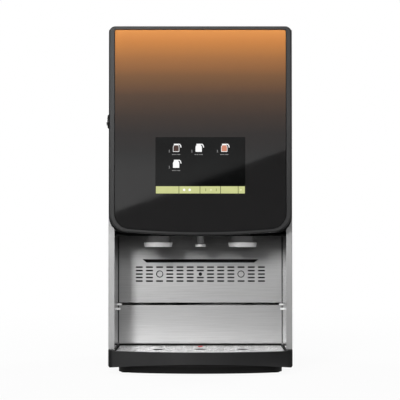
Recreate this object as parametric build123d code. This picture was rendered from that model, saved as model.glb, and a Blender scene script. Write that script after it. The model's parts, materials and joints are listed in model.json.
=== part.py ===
from build123d import *
import math
import os

# Instant drink machine: millimetres, +Z up, front towards -Y, origin on the ground under its middle

# Overall size
overall_height = 640.0
overall_depth = 460.0
casing_width = 341.0

# General clearances
overrun = 1.0
fit_gap = 0.3
run_gap = 0.05

# Casing sheet metal
sheet = 1.5
return_width = 11.0
bend_radius = 1.2
top_step = 2.0
rear_setback = 18.0

# Base
foot_height = 3.0
foot_radius = 11.0
foot_boss_radius = 14.0
foot_setback = 15.0
plinth_height = 12.0
plinth_side_gap = 18.5
plinth_wall = 3.0
plinth_front_gap = 8.0
plinth_corner_radius = 45.0
plinth_rear_gap = 7.0
front_bow = 36.0

# Door
door_side_step = 2.5
door_setback = 15.0
door_depth = 32.0
door_gap = 3.0
bezel_depth = 9.0
bezel_side = 10.0
bezel_top = 6.0
bezel_low = 6.0
bezel_ledge = 4.0
corner_follow_share = 0.8
door_bottom = 255.0
door_shell_rise = 4.0
door_bow = 8.5
door_top_radius = 12.0
door_low_radius = 37.0
shell_low_radius = 30.0
door_wall = 4.0
door_edge_round = 3.0
door_swing_round = 3.0
glass_thickness = 4.0
glass_recess = 0.4
glass_gap = 1.2
cover_thickness = 3.0
cover_rib = 4.0
cover_rib_depth = 6.0
cover_rib_count = 4
cover_rib_share = 0.78

# Touchscreen and its board
screen_width = 164.0
screen_height = 103.0
screen_low = 332.0
screen_depth = 10.0
board_thickness = 1.6
door_board_width = 120.0
door_board_height = 70.0
chip_size = 14.0
chip_height = 3.0
chip_place_shares = (-0.7, -0.1, 0.5)

# Door hinges
hinge_inset_x = 9.0
hinge_inset_y = 12.0
hinge_pin_radius = 3.0
hinge_plate = 3.0
hinge_arm_radius = 6.0
hinge_boss_radius = 8.0
hinge_boss_length = 28.0
hinge_pin_length = 23.0
hinge_slot_radius = 15.5
hinge_slot_gap = 2.0
hinge_flange_width = 16.0
hinge_flange_height = 28.0
hinge_upper_drop = 45.0
hinge_lower_rise = 45.0

# Door lock
lock_z = 465.0
lock_ring_radius = 13.0
lock_ring_proud = 3.0
lock_sleeve_radius = 9.0
lock_sleeve_length = 17.0
lock_barrel_radius = 7.0
lock_barrel_proud = 2.0
key_slot_width = 2.0
key_slot_length = 9.0
key_slot_depth = 5.0
cam_thickness = 3.0
cam_reach = 34.0
cam_half_width = 4.0
cam_tooth = 5.0
cam_tooth_width = 4.5
striker_gap = 1.5
striker_height = 12.0
striker_width = 26.0

# Dispensing bay
bay_top = 254.0
bay_side_gap = 10.5
bay_depth = 135.0
ceiling_thickness = 3.0
back_seam_low = 119.0
back_seam = 5.0
vent_columns = 13
vent_rows = 5
vent_pitch_x = 19.9
vent_pitch_z = 6.8
vent_width = 14.0
vent_height = 3.0
vent_mid_z = 179.5
vent_round_radius = 7.0
vent_small_radius = 3.5
vent_mark_column = 4
dimple_depth = 8.0
dimple_wall = 1.0
slot_width = 227.0
slot_height = 6.5
slot_low = 202.0
slot_slant = 8.5
clip_length = 5.0
clip_height = 3.5
clip_reach = 3.2
clip_step_y = 42.0
clip_step_z = 6.5

# Drip tray, its grid and float
tray_top = 42.0
tray_wall = 2.5
tray_side_gap = 0.8
tray_corner_radius = 15.0
tray_low_round = 5.0
tray_edge_round = 2.0
tray_back_gap = 3.0
tray_casing_gap = 1.0
tray_front_rim = 9.0
tray_ledge = 4.0
tray_ear_rise = 2.5
tray_ear_slant = 6.0
tray_skirt_drop = 3.5
tray_skirt_rim = 6.5
tray_arch = 8.5
grid_thickness = 3.0
grid_drop = 1.0
grid_slot_pitch_y = 22.0
grid_slot_length = 12.0
grid_slot_width = 6.0
grid_slot_columns = 15
grid_slot_rows = 6
grid_slot_setback = 27.0
grid_hole_radius = 10.0
float_setback = 35.0
float_radius = 5.0
float_gap = 0.5
float_base_radius = 9.0
float_base_height = 6.0
float_head = 1.5

# Drink columns: one canister, mixer and nozzle on each side of the middle
column_shift = 5.75
nozzle_setback = 38.0

# Inner chassis
shelf_z = 397.0
shelf_setback = 118.0
auger_plate_gap = 104.5
auger_plate_drop = 38.0

# Canister
canister_mid_gap = 5.5
canister_setback = 68.0
canister_rear_gap = 10.0
canister_drop = 41.0
canister_wall = 2.5
trough_radius = 17.0
hopper_rise = 62.0
foot_rib = 3.0
foot_rib_half_width = 55.0
foot_rib_inset = 30.0
spout_length = 16.0
lid_thickness = 3.0
lid_skirt = 8.0
lid_wall = 2.0
grip_length = 50.0
grip_width = 12.0
grip_height = 6.0

# Auger and its motor
auger_radius = 14.0
auger_blade = 5.0
auger_turns = 6
auger_tip_reach = 10.0
auger_shaft_radius = 5.0
auger_shaft_length = 22.0
auger_end_gap = 3.0
gearbox_width = 60.0
gearbox_depth = 22.0
auger_motor_radius = 17.0
auger_motor_length = 40.0

# Outlet elbow
elbow_wall = 2.5
elbow_reach = 19.0
elbow_gap = 1.5
elbow_drop = 36.0
elbow_tube_radius = 17.0

# Mixing bowl, impeller and mixer motor
bowl_wall = 2.5
bowl_rim_z = 375.0
bowl_rim_radius = 33.0
bowl_neck_z = 332.0
bowl_neck_radius = 19.0
chamber_z = 300.0
chamber_radius = 26.0
chamber_reach = 24.0
bowl_outlet_radius = 9.0
bowl_outlet_low = 250.0
inlet_z = 352.0
inlet_radius = 5.0
inlet_reach = 47.0
inlet_wall = 1.5
impeller_radius = 18.0
impeller_setback = 44.5
impeller_disc = 3.0
impeller_blade = 2.5
impeller_blade_length = 10.0
impeller_blades = 6
mixer_shaft_radius = 3.0
mixer_shaft_reach = 21.5
mixer_plug_length = 16.5
mixer_plug_gap = 0.5
mixer_motor_radius = 24.0
mixer_motor_length = 71.5

# Nozzle bell and ring, hot-water spout
bell_low = 242.5
bell_top_radius = 21.0
bell_low_radius = 23.5
bell_wall = 3.0
bell_collar_radius = 14.0
bell_collar_rise = 6.0
ring_height = 9.0
ring_radius = 27.2
ring_low_radius = 25.7
ring_bore = 20.0
ring_round = 1.5
spout_radius = 6.5
spout_bore = 4.0
spout_tip_radius = 10.0
spout_tip_low = 233.5
spout_tip_height = 5.5
spout_top = 278.0

# Boiler, valves and hoses
boiler_side_gap = 55.5
boiler_front_gap = 20.0
boiler_rear_gap = 45.5
boiler_top = 240.0
boiler_wall = 2.0
boiler_round = 20.0
element_x = 40.0
element_setback = 45.0
element_flange_radius = 26.0
element_flange_height = 6.0
element_rod_radius = 4.0
element_spread = 14.0
element_depth = 150.0
element_bend = 12.0
valve_setback = 70.0
valve_width = 24.0
valve_depth = 34.0
valve_height = 22.0
valve_spigot = 8.0
coil_height = 20.0
coil_radius = 10.0
hose_radius = 5.0
hose_bend = 28.0
spout_hose_z = 320.0

# Extraction fan
fan_size = 92.0
fan_depth = 32.0
fan_drop = 118.0
fan_bore = 42.0
fan_tip_gap = 2.0
fan_hub_radius = 16.0
fan_hub_length = 18.0
fan_pin_radius = 2.5
fan_blades = 7
fan_blade = 2.0
fan_blade_pitch = 35.0
fan_arm = 6.0
fan_arm_depth = 4.0
fan_arm_count = 3
fan_cap = 3.0
fan_chord = 18.0
rear_vent_rows = 7
fan_slot_pitch = 11.0
fan_slot_length = 70.0
fan_slot_height = 5.0

# Main board, water inlet, mains inlet and rocker
board_setback = 90.5
board_depth = 80.0
board_height = 160.0
board_drop = 48.0
board_standoff = 9.0
standoff_radius = 4.0
supply_inset = 50.5
supply_z = 60.0
supply_radius = 13.2
supply_bore = 8.0
supply_body = 36.0
supply_body_depth = 34.0
mains_inset = 58.5
mains_z = 60.0
mains_width = 50.0
mains_height = 76.0
mains_flange = 2.5
mains_depth = 26.0
socket_width = 24.0
socket_height = 16.5
socket_depth = 18.0
socket_drop = 16.0
rocker_rise = 19.0
rocker_half_width = 9.0
rocker_half_height = 10.0
rocker_depth = 12.0
rocker_sink = 6.0
rocker_angle = 14.0
rocker_swing_gap = 2.0
rocker_pin_radius = 2.0
rocker_pin_length = 4.0

# Planes worked out from the sizes above
front_y = -overall_depth / 2
rear_y = overall_depth / 2
door_front = front_y + door_setback
door_back = door_front + door_depth
bezel_back = door_front + bezel_depth
casing_front = door_back + door_gap
casing_rear = rear_y - rear_setback
casing_side = casing_width / 2
casing_top = overall_height - top_step
panel_rear = casing_rear - sheet
base_z = foot_height + plinth_height
floor_z = base_z + sheet
plinth_half = casing_side - plinth_side_gap
door_side = casing_side - door_side_step
hinge_x = door_side - hinge_inset_x
hinge_y = door_back - hinge_inset_y
hinge_heights = (door_bottom + hinge_lower_rise, overall_height - hinge_upper_drop)
lock_y = (door_front + door_back) / 2
barrel_end = -door_side + lock_sleeve_length + lock_barrel_proud
bay_half_width = casing_side - bay_side_gap
bay_back = casing_front + bay_depth
chassis_front = bay_back + sheet
grid_top = tray_top - grid_drop
tray_half_width = casing_side - return_width - tray_side_gap
tray_back = bay_back - tray_back_gap
grid_half_width = tray_half_width - tray_wall
grid_back = tray_back - tray_wall
grid_slot_pitch_x = (grid_half_width + grid_half_width) / (grid_slot_columns + 1)
grid_slot_back = bay_back - grid_slot_setback
float_y = bay_back - float_setback
column_x = casing_side / 2 - column_shift
column_places = (-column_x, column_x)
nozzle_y = casing_front + nozzle_setback
shelf_front = casing_front + shelf_setback
auger_plate_y = panel_rear - auger_plate_gap
auger_plate_top = casing_top - auger_plate_drop
auger_z = shelf_z + trough_radius + canister_wall
canister_half_width = column_x - canister_mid_gap
canister_front = casing_front + canister_setback
canister_rear = auger_plate_y - canister_rear_gap
canister_top = casing_top - canister_drop
auger_tip_y = canister_front - auger_tip_reach
elbow_front_y = nozzle_y - elbow_reach
elbow_rear_y = canister_front - elbow_gap
chamber_front = nozzle_y - chamber_reach
inlet_end_y = nozzle_y + inlet_reach
impeller_y = chassis_front - impeller_setback
mixer_shaft_rear = chassis_front + mixer_shaft_reach
mixer_plug_front = chassis_front - mixer_plug_length
mixer_motor_rear = chassis_front + mixer_motor_length
mixer_plug_radius = chamber_radius - bowl_wall - mixer_plug_gap
boiler_half_width = casing_side - boiler_side_gap
boiler_front = bay_back + boiler_front_gap
boiler_rear = panel_rear - boiler_rear_gap
element_y = boiler_rear - element_setback
valve_y = boiler_front + valve_setback
fan_rear = panel_rear - sheet
fan_z = casing_top - fan_drop
board_y = panel_rear - board_setback
board_low = casing_top - board_drop - board_height
supply_x = casing_side - supply_inset
mains_x = mains_inset - casing_side
bow_radius = (casing_side**2 + front_bow**2) / (front_bow + front_bow)


def span_box(x0, x1, y0, y1, z0, z1):
    """A box between two corners."""
    middle = Pos((x0 + x1) / 2, (y0 + y1) / 2, (z0 + z1) / 2)
    return middle * Box(abs(x1 - x0), abs(y1 - y0), abs(z1 - z0))


def rod_x(radius, x0, x1, y, z):
    """A round bar along X."""
    return Pos((x0 + x1) / 2, y, z) * Rot(0, 90, 0) * Cylinder(radius, abs(x1 - x0))


def rod_y(radius, x, y0, y1, z):
    """A round bar along Y."""
    return Pos(x, (y0 + y1) / 2, z) * Rot(90, 0, 0) * Cylinder(radius, abs(y1 - y0))


def rod_z(radius, x, y, z0, z1):
    """A round bar along Z."""
    return Pos(x, y, (z0 + z1) / 2) * Cylinder(radius, abs(z1 - z0))


def prism_y(face, y0, y1):
    """A flat outline drawn as (x, z), pushed from y1 forward to y0."""
    return extrude(Plane.XZ.offset(-y1) * face, amount=y1 - y0)


def round_corners(face, low_radius, top_radius):
    """Round the two lowest and the two highest corners of a flat outline."""
    rounded = fillet(face.vertices().sort_by(Axis.Y)[:2], low_radius)
    return fillet(rounded.vertices().sort_by(Axis.Y)[-2:], top_radius)


def slot_face(width, height, places):
    """One flat outline per place, each a slot with round ends."""
    return Sketch() + [Pos(x, z) * SlotOverall(width, height) for x, z in places]


# Casing

def side_panel(side):
    """Bent sheet side with a return at its front and rear edges."""
    outer = side * casing_side
    inner = outer - side * sheet
    lip = outer - side * return_width
    lip_top = casing_top - sheet
    panel = span_box(inner, outer, casing_front, casing_rear, base_z, casing_top)
    panel += span_box(lip, outer, casing_front, casing_front + sheet, base_z, lip_top)
    panel += span_box(lip, outer, casing_rear - sheet, casing_rear, base_z, lip_top)
    bends = panel.edges().filter_by(Axis.Z).sort_by(Axis.X)
    panel = fillet(bends[-2:] if side > 0 else bends[:2], bend_radius)
    if side > 0:
        for z in hinge_heights:
            panel -= hinge_notch(z)
    return panel


def hinge_notch(z):
    """Cut in the right side panel's front return that a hinge arm passes through."""
    half = hinge_arm_radius + fit_gap
    rise = hinge_plate / 2 + fit_gap
    back = casing_front + sheet + overrun
    return span_box(hinge_x - half, hinge_x + half, casing_front - overrun, back, z - rise, z + rise)


def top_cover():
    """Flat top with a lip at its front and rear edges."""
    half = casing_side - sheet
    lip_half = casing_side - return_width - fit_gap
    lip_low = casing_top - return_width
    cover = span_box(-half, half, casing_front, casing_rear, casing_top - sheet, casing_top)
    cover += span_box(-lip_half, lip_half, casing_front, casing_front + sheet, lip_low, casing_top)
    cover += span_box(-lip_half, lip_half, panel_rear, casing_rear, lip_low, casing_top)
    return cover


def rear_panel():
    """Back sheet with the fan's slots and the holes for water and mains."""
    half = casing_side - sheet - fit_gap
    panel = span_box(-half, half, panel_rear - sheet, panel_rear, base_z, casing_top - sheet)
    reach = (rear_vent_rows - 1) / 2
    places = [(0, fan_z + (row - reach) * fan_slot_pitch) for row in range(rear_vent_rows)]
    panel -= prism_y(slot_face(fan_slot_length, fan_slot_height, places), fan_rear - overrun, casing_rear)
    panel -= rod_y(supply_radius + fit_gap, supply_x, fan_rear - overrun, casing_rear, supply_z)
    half_width = mains_width / 2 - mains_flange
    half_height = mains_height / 2 - mains_flange
    panel -= span_box(
        mains_x - half_width, mains_x + half_width, fan_rear - overrun, casing_rear,
        mains_z - half_height, mains_z + half_height,
    )
    return panel


def base_plate():
    """Floor of the casing behind the dispensing bay."""
    half = casing_side - sheet
    return span_box(-half, half, chassis_front, panel_rear - sheet, base_z, floor_z)


def bowed_face(half, rim, rear):
    """A plan outline whose front edge lies a rim behind the bowed front of the machine."""
    radius = bow_radius - rim
    front = front_y + rim
    sides = front + radius - math.sqrt(radius**2 - half**2)
    return make_face([
        Line((-half, rear), (-half, sides)),
        ThreePointArc((-half, sides), (0, front), (half, sides)),
        Line((half, sides), (half, rear)),
        Line((half, rear), (-half, rear)),
    ])


def foot_places():
    """Plan places of the four feet."""
    x = plinth_half - plinth_wall / 2 - foot_boss_radius
    front = front_y + plinth_front_gap + front_bow + foot_boss_radius + foot_setback
    rear = casing_rear - plinth_rear_gap - foot_boss_radius - plinth_wall / 2
    return [(side * x, y) for side in (-1, 1) for y in (front, rear)]


def base_plinth():
    """Hollow moulded base with a bowed front, round front corners and a boss over each foot."""
    rear = casing_rear - plinth_rear_gap
    outer = bowed_face(plinth_half, plinth_front_gap, rear)
    outer = fillet(outer.vertices().sort_by(Axis.Y)[:2], plinth_corner_radius)
    inner = bowed_face(plinth_half - plinth_wall, plinth_front_gap + plinth_wall, rear - plinth_wall)
    inner = fillet(inner.vertices().sort_by(Axis.Y)[:2], plinth_corner_radius - plinth_wall)
    plinth = extrude(Pos(0, 0, foot_height) * outer, amount=plinth_height)
    plinth -= extrude(Pos(0, 0, foot_height) * inner, amount=plinth_height - plinth_wall)
    for x, y in foot_places():
        plinth += rod_z(foot_boss_radius, x, y, foot_height, base_z)
    return plinth


def feet():
    """Four rubber pads."""
    return Compound([rod_z(foot_radius, x, y, 0, foot_height) for x, y in foot_places()])


# Door

def bezel_face(side_inset, top_inset, low_inset):
    """Front outline of the door, with a bowed lower edge."""
    half = door_side - side_inset
    top = overall_height - top_inset
    low = door_bottom + low_inset
    ends = low + door_bow
    outline = make_face([
        Line((-half, ends), (-half, top)),
        Line((-half, top), (half, top)),
        Line((half, top), (half, ends)),
        ThreePointArc((half, ends), (0, low), (-half, ends)),
    ])
    follow = side_inset * corner_follow_share
    return round_corners(outline, door_low_radius - follow, door_top_radius - follow)


def shell_face(inset):
    """Outline of the door behind its front bezel, with a straight lower edge."""
    half = door_side - inset
    low = door_bottom + door_shell_rise + inset
    top = overall_height - inset
    outline = Pos(0, (low + top) / 2) * Rectangle(half + half, top - low)
    return round_corners(outline, shell_low_radius - inset, door_top_radius - inset)


def door_room(inset, front, back):
    """Room inside the door, within its front outline as well as its rear one."""
    room = prism_y(shell_face(inset), front, back)
    return room & prism_y(bezel_face(inset, inset, inset), front, back)


def hinge_slots(z):
    """Room in the door for one hinge arm to turn."""
    rise = hinge_plate / 2 + hinge_slot_gap
    return rod_z(hinge_slot_radius, hinge_x, hinge_y, z - rise, z + rise)


def door_frame():
    """Moulded frame: front bezel, deep side walls and bored hinge bosses."""
    bezel = prism_y(bezel_face(0, 0, 0), door_front, bezel_back)
    bezel = fillet(bezel.faces().sort_by(Axis.Y)[0].edges(), door_edge_round)
    shell = prism_y(shell_face(0), bezel_back, door_back)
    shell = fillet(shell.faces().sort_by(Axis.Y)[-1].edges(), door_swing_round)
    shell -= door_room(door_wall, bezel_back, door_back + overrun)
    frame = bezel + shell
    for z in hinge_heights:
        reach = hinge_boss_length / 2
        frame += rod_z(hinge_boss_radius, hinge_x, hinge_y, z - reach, z + reach)
    glass_back = door_front + glass_recess + glass_thickness
    frame -= prism_y(bezel_face(bezel_side, bezel_top, bezel_low), door_front - overrun, glass_back)
    side, top, low = bezel_side + bezel_ledge, bezel_top + bezel_ledge, bezel_low + bezel_ledge
    frame -= prism_y(bezel_face(side, top, low), glass_back - overrun, bezel_back + overrun)
    for z in hinge_heights:
        reach = hinge_boss_length / 2 + overrun
        frame -= hinge_slots(z)
        frame -= rod_z(hinge_pin_radius + run_gap, hinge_x, hinge_y, z - reach, z + reach)
    inside = -door_side + lock_sleeve_length
    frame -= rod_x(lock_sleeve_radius + fit_gap, -door_side - overrun, inside, lock_y, lock_z)
    return frame


def screen_block(gap, front, back):
    """Space of the touchscreen, grown by a gap."""
    half = screen_width / 2 + gap
    return span_box(-half, half, front, back, screen_low - gap, screen_low + screen_height + gap)


def door_glass():
    """Front glass with a window for the touchscreen."""
    front = door_front + glass_recess
    back = front + glass_thickness
    outline = bezel_face(bezel_side + glass_gap, bezel_top + glass_gap, bezel_low + glass_gap)
    return prism_y(outline, front, back) - screen_block(fit_gap, front - overrun, back + overrun)


def touchscreen():
    """Touch display set flush in the glass."""
    front = door_front + glass_recess
    return screen_block(0, front, front + screen_depth)


def door_board():
    """Circuit board on the back of the touchscreen."""
    front = door_front + glass_recess + screen_depth
    back = front + board_thickness
    half = door_board_width / 2
    middle = screen_low + screen_height / 2
    rise = door_board_height / 2
    board = span_box(-half, half, front, back, middle - rise, middle + rise)
    for share in chip_place_shares:
        x = half * share
        board += span_box(x, x + chip_size, back, back + chip_height, middle, middle + chip_size)
    return board


def door_inner_cover():
    """Back of the door: ribbed panel with room for the hinges and the lock cam."""
    front = door_back - cover_thickness
    cover = door_room(door_wall + fit_gap, front, door_back)
    rib_half = door_side * cover_rib_share
    low = door_bottom + shell_low_radius
    step = (overall_height - low) / (cover_rib_count + 1)
    for index in range(cover_rib_count):
        z = low + step * (index + 1)
        cover += span_box(-rib_half, rib_half, front - cover_rib_depth, front, z, z + cover_rib)
    for z in hinge_heights:
        cover -= hinge_slots(z)
    low = lock_z - cam_half_width - cam_tooth - hinge_slot_gap
    top = lock_z + cam_reach + hinge_slot_gap
    left = barrel_end - hinge_slot_gap
    right = barrel_end + cam_thickness + hinge_slot_gap
    return cover - span_box(left, right, front - overrun, door_back + overrun, low, top)


def door_hinges():
    """Two hinge arms with their pins, fixed behind the right side panel's return."""
    hinges = []
    for z in hinge_heights:
        low, high = z - hinge_plate / 2, z + hinge_plate / 2
        back = casing_front + sheet
        left, right = hinge_x - hinge_arm_radius, hinge_x + hinge_arm_radius
        hinge = span_box(left, right, hinge_y, back + hinge_plate, low, high)
        hinge += rod_z(hinge_arm_radius, hinge_x, hinge_y, low, high)
        half, rise = hinge_flange_width / 2, hinge_flange_height / 2
        hinge += span_box(hinge_x - half, hinge_x + half, back, back + hinge_plate, z - rise, z + rise)
        reach = hinge_pin_length / 2
        hinge += rod_z(hinge_pin_radius, hinge_x, hinge_y, z - reach, z + reach)
        hinges.append(hinge)
    return Compound(hinges)


# Door lock on the left edge

def lock_housing():
    """Round escutcheon and sleeve."""
    ring = rod_x(lock_ring_radius, -door_side - lock_ring_proud, -door_side, lock_y, lock_z)
    rim = ring.faces().sort_by(Axis.X)[0].edges()
    housing = chamfer(rim, lock_ring_proud / 2)
    inside = -door_side + lock_sleeve_length
    housing += rod_x(lock_sleeve_radius, -door_side, inside, lock_y, lock_z)
    outside = -door_side - lock_ring_proud
    bore = lock_barrel_radius + run_gap
    return housing - rod_x(bore, outside - overrun, inside + overrun, lock_y, lock_z)


def lock_barrel():
    """Turning barrel with a key slot."""
    outside = -door_side - lock_ring_proud - lock_barrel_proud
    barrel = rod_x(lock_barrel_radius, outside, barrel_end, lock_y, lock_z)
    half, rise = key_slot_width / 2, key_slot_length / 2
    return barrel - span_box(
        outside - overrun, outside + key_slot_depth, lock_y - half, lock_y + half,
        lock_z - rise, lock_z + rise,
    )


def lock_cam():
    """Hooked cam, stored upright in the unlocked place."""
    inner = barrel_end + cam_thickness
    front, back = lock_y - cam_half_width, lock_y + cam_half_width
    top = lock_z + cam_reach
    cam = rod_x(lock_barrel_radius, barrel_end, inner, lock_y, lock_z)
    cam += span_box(barrel_end, inner, front, back, lock_z, top)
    return cam + span_box(barrel_end, inner, back, back + cam_tooth, top - cam_tooth_width, top)


def lock_striker():
    """Bracket behind the left return that the cam hooks over."""
    left = -casing_side + sheet
    back = lock_y + cam_reach - cam_tooth_width - striker_gap
    top = lock_z - cam_half_width - striker_gap
    return span_box(left, left + striker_width, casing_front + sheet, back, top - striker_height, top)


# Dispensing bay

def bay_ceiling():
    """Black plate that the nozzles and the spout hang from."""
    half = bay_half_width + sheet
    top = bay_top + ceiling_thickness
    plate = span_box(-half, half, casing_front + sheet, chassis_front, bay_top, top)
    for x in column_places:
        plate -= rod_z(bell_collar_radius + fit_gap, x, nozzle_y, bay_top - overrun, top + overrun)
    return plate - rod_z(spout_radius + fit_gap, 0, nozzle_y, bay_top - overrun, top + overrun)


def vent_places():
    """Places of the vent slots, without those that the round marks take."""
    middle_column = vent_columns // 2
    middle_row = vent_rows // 2
    places = []
    for column in range(vent_columns):
        for row in range(vent_rows):
            across = column - middle_column
            up = row - middle_row
            in_mark = abs(across) == vent_mark_column and abs(up) < middle_row
            in_hole = across == 0 and up == 0
            if not in_mark and not in_hole:
                places.append((across * vent_pitch_x, vent_mid_z + up * vent_pitch_z))
    return places


def bay_back_upper():
    """Upper back panel with vent slots, two round dimples, a small hole and a long slot above."""
    low = back_seam_low + back_seam
    front, back = bay_back - overrun, chassis_front + overrun
    panel = span_box(-bay_half_width, bay_half_width, bay_back, chassis_front, low, bay_top)
    panel -= prism_y(slot_face(vent_width, vent_height, vent_places()), front, back)
    for side in (-1, 1):
        x = side * vent_mark_column * vent_pitch_x
        bottom = bay_back + dimple_depth
        panel += rod_y(vent_round_radius + dimple_wall, x, bay_back, bottom + dimple_wall, vent_mid_z)
        panel -= rod_y(vent_round_radius, x, front, bottom, vent_mid_z)
    panel -= rod_y(vent_small_radius, 0, front, back, vent_mid_z)
    half = slot_width / 2
    top = slot_low + slot_height
    outline = Polyline(
        (-half, top), (half, top), (half - slot_slant, slot_low), (slot_slant - half, slot_low), close=True
    )
    return panel - prism_y(make_face(outline), front, back)


def bay_back_lower():
    """Lower back panel with a strip that backs the seam above it."""
    panel = span_box(-bay_half_width, bay_half_width, bay_back, chassis_front, base_z, back_seam_low)
    half = bay_half_width - clip_reach
    low = back_seam_low - back_seam - back_seam
    top = back_seam_low + back_seam + back_seam
    return panel + span_box(-half, half, chassis_front, chassis_front + sheet, low, top)


def bay_side(side):
    """Side wall of the bay."""
    inner = side * bay_half_width
    outer = inner + side * sheet
    return span_box(inner, outer, casing_front + sheet, chassis_front, tray_top + grid_drop, bay_top)


def panel_clips():
    """Small clips at the two ends of the seam."""
    clips = []
    for side in (-1, 1):
        wall = side * bay_half_width
        inner = wall - side * clip_reach
        for step in range(2):
            low = back_seam_low - step * clip_step_z
            back = bay_back - step * clip_step_y
            clips.append(span_box(inner, wall, back - clip_length, back, low, low + clip_height))
    return Compound(clips)


# Drip tray

def skirt_strip(plan):
    """Plan of the front band's lower edge, thin enough to hang in front of the plinth."""
    rear = casing_front + overrun
    return plan - bowed_face(casing_side + overrun, tray_skirt_rim, rear)


def drip_tray():
    """Basin with a bowed front band and a ledge for the grid."""
    band_rear = casing_front - tray_casing_gap
    plan = bowed_face(casing_side, 0, band_rear)
    plan = fillet(plan.vertices().sort_by(Axis.Y)[:2], tray_corner_radius)
    ear_top = tray_top + tray_ear_rise
    tray = extrude(Pos(0, 0, base_z) * plan, amount=ear_top - base_z)
    tray = fillet(tray.faces().sort_by(Axis.Z)[-1].edges(), tray_edge_round)
    high = grid_half_width + tray_ear_slant
    between = Polyline(
        (-grid_half_width, tray_top), (grid_half_width, tray_top),
        (high, ear_top), (-high, ear_top), close=True,
    )
    tray -= prism_y(make_face(between), front_y - overrun, band_rear + overrun)
    low = base_z - tray_skirt_drop
    tray += extrude(Pos(0, 0, low) * skirt_strip(plan), amount=tray_skirt_drop)
    arch = make_face([
        Line((-casing_side, low), (casing_side, low)),
        ThreePointArc((casing_side, low), (0, low + tray_arch), (-casing_side, low)),
    ])
    arch = prism_y(arch, front_y - overrun, casing_front)
    tray -= arch & extrude(Pos(0, 0, low) * skirt_strip(plan), amount=tray_arch)
    front_view = Pos(0, (low + ear_top) / 2) * Rectangle(casing_width, ear_top - low)
    front_view = fillet(front_view.vertices().sort_by(Axis.Y)[:2], tray_low_round)
    tray = tray & prism_y(front_view, front_y - overrun, band_rear + overrun)
    tray += span_box(
        -tray_half_width, tray_half_width, band_rear - tray_front_rim, tray_back, base_z, tray_top
    )
    tray += span_box(-tray_half_width, tray_half_width, grid_back, tray_back, tray_top, ear_top)
    seat = grid_top - grid_thickness
    recess = bowed_face(grid_half_width, tray_front_rim, grid_back)
    tray -= extrude(Pos(0, 0, seat) * recess, amount=tray_top - seat + overrun)
    half, rim = grid_half_width - tray_ledge, tray_front_rim + tray_ledge
    basin = bowed_face(half, rim, grid_back - tray_ledge)
    floor = base_z + tray_wall
    return tray - extrude(Pos(0, 0, floor) * basin, amount=seat - floor + overrun)


def grid_slot_places():
    """Places of the grid's slots, clear of its round holes."""
    clear = grid_hole_radius + grid_slot_length
    holes = [(x, nozzle_y) for x in (-column_x, 0, column_x)] + [(0, float_y)]
    places = []
    for column in range(grid_slot_columns):
        for row in range(grid_slot_rows):
            x = (column - grid_slot_columns // 2) * grid_slot_pitch_x
            y = grid_slot_back - row * grid_slot_pitch_y
            if all(math.hypot(x - hx, y - hy) > clear for hx, hy in holes):
                places.append((x, y))
    return places


def drip_grid():
    """Flat grid with slots, a hole under each outlet and one for the float."""
    seat = grid_top - grid_thickness
    plan = bowed_face(grid_half_width - fit_gap, tray_front_rim + fit_gap, grid_back - fit_gap)
    plan -= slot_face(grid_slot_length, grid_slot_width, grid_slot_places())
    plan -= [Pos(x, nozzle_y) * Circle(grid_hole_radius) for x in (-column_x, 0, column_x)]
    plan -= Pos(0, float_y) * Circle(float_radius + float_gap)
    return extrude(Pos(0, 0, seat) * plan, amount=grid_thickness)


def tray_float():
    """Float that rises through the grid when the tray is full."""
    floor = base_z + tray_wall
    base = rod_z(float_base_radius, 0, float_y, floor, floor + float_base_height)
    return base + rod_z(float_radius, 0, float_y, floor, grid_top + float_head)


# Inner chassis

def inner_chassis():
    """Bent sheet: mixer plate, canister shelf and auger plate."""
    half = casing_side - sheet
    low = shelf_z - sheet
    plate_back = chassis_front + sheet
    auger_front = auger_plate_y - sheet
    chassis = span_box(-half, half, chassis_front, plate_back, bay_top, shelf_z)
    chassis += span_box(-half, half, shelf_front, auger_plate_y, low, shelf_z)
    chassis += span_box(-half, half, auger_front, auger_plate_y, low, auger_plate_top)
    front, back = chassis_front - overrun, plate_back + overrun
    for x in column_places:
        chassis -= rod_y(mixer_plug_radius + fit_gap, x, front, back, chamber_z)
        chassis -= rod_y(hose_radius + fit_gap, x, front, back, inlet_z)
        chassis -= rod_y(
            auger_shaft_radius + fit_gap, x, auger_front - overrun, auger_plate_y + overrun, auger_z
        )
    return chassis - rod_y(hose_radius + fit_gap, 0, front, back, spout_hose_z)


# Canister, lid, auger, motor and elbow

def hopper_face(x, inset, top):
    """Section of a canister, drawn in below to a round trough."""
    half = canister_half_width - inset
    radius = trough_radius + canister_wall - inset
    shoulder = auger_z + hopper_rise
    return Pos(x, 0) * make_face([
        Line((radius, auger_z), (half, shoulder)),
        Line((half, shoulder), (half, top)),
        Line((half, top), (-half, top)),
        Line((-half, top), (-half, shoulder)),
        Line((-half, shoulder), (-radius, auger_z)),
        ThreePointArc((-radius, auger_z), (0, auger_z - radius), (radius, auger_z)),
    ])


def canister(x):
    """Powder canister with foot ribs, a front spout and a bored rear wall."""
    front, rear = canister_front + canister_wall, canister_rear - canister_wall
    body = prism_y(hopper_face(x, 0, canister_top), canister_front, canister_rear)
    left, right = x - foot_rib_half_width, x + foot_rib_half_width
    for y in (canister_rear - foot_rib_inset, shelf_front + foot_rib_inset):
        body += span_box(left, right, y, y + foot_rib, shelf_z, auger_z + hopper_rise / 2)
    spout_end = canister_front - spout_length
    body += rod_y(trough_radius + canister_wall, x, spout_end, front, auger_z)
    body -= prism_y(hopper_face(x, canister_wall, canister_top + overrun), front, rear)
    body -= rod_y(trough_radius, x, spout_end - overrun, front + overrun, auger_z)
    return body - rod_y(auger_shaft_radius + run_gap, x, rear - overrun, canister_rear + overrun, auger_z)


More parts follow.
